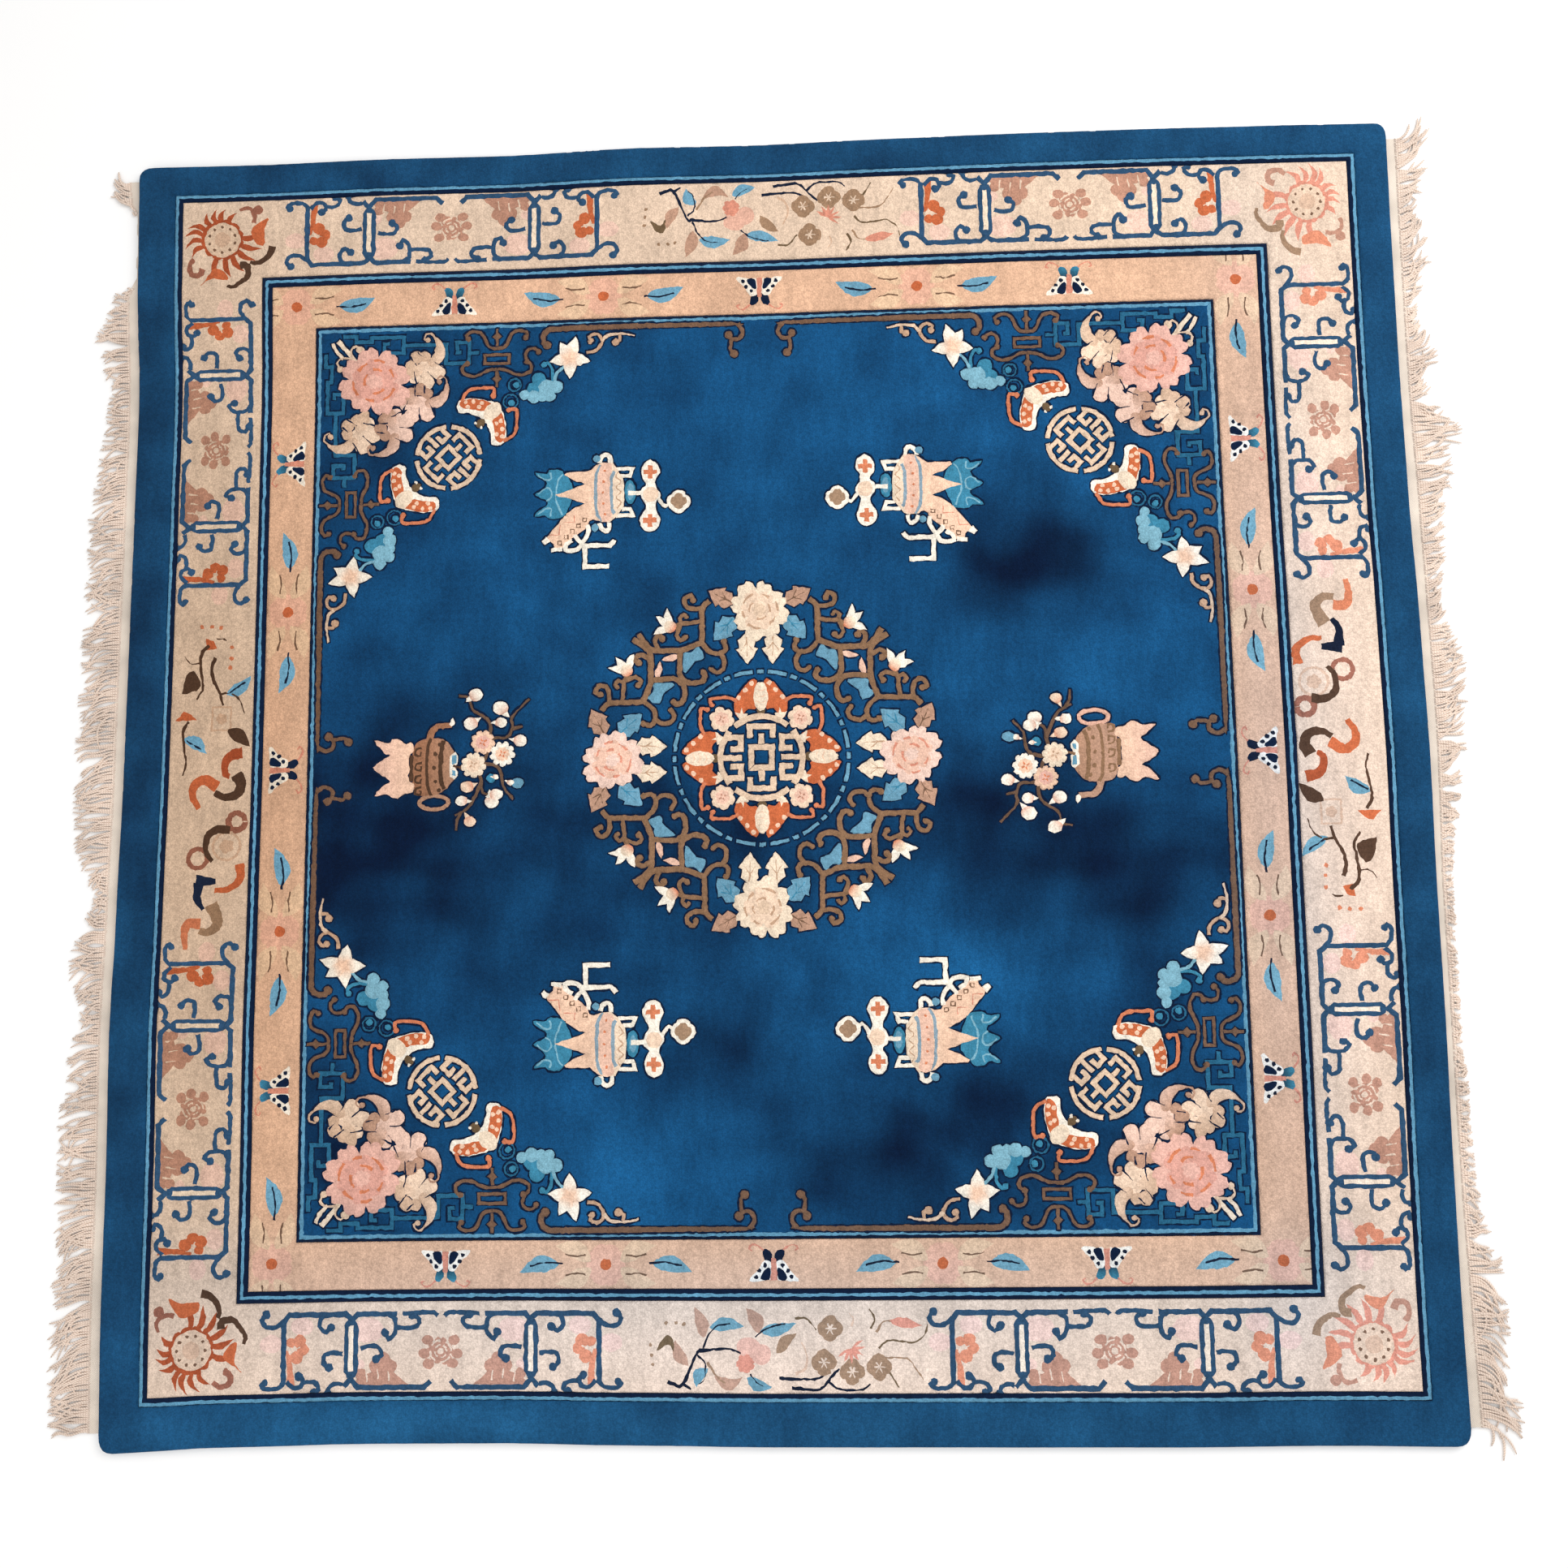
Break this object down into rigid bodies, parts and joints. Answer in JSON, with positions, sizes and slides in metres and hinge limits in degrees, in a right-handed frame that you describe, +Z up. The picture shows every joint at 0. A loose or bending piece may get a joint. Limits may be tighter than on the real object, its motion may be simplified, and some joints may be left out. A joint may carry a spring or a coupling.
{
  "type": "square hand-knotted wool rug",
  "caption": "Square hand-knotted wool rug lying flat, with a thick carved pile, nested borders, a round medallion and loose cotton fringe on the two warp ends, for covering a floor.",
  "frame": {"origin": "on the floor, under the middle of the knotted square", "axes": "+Z up out of the pile, +X along the warp from the left fringe to the right one, +Y towards the far selvedge"},
  "size_m": [2.6378, 2.4557, 0.014],
  "materials": {
    "wool_pile": "clipped wool pile, carved along its outlines",
    "cotton_fringe": "unbleached cotton warp ends"
  },
  "bodies": {
    "root": {"pile_body": "wool_pile", "left_fringe": "cotton_fringe", "right_fringe": "cotton_fringe"}
  },
  "joints": []
}
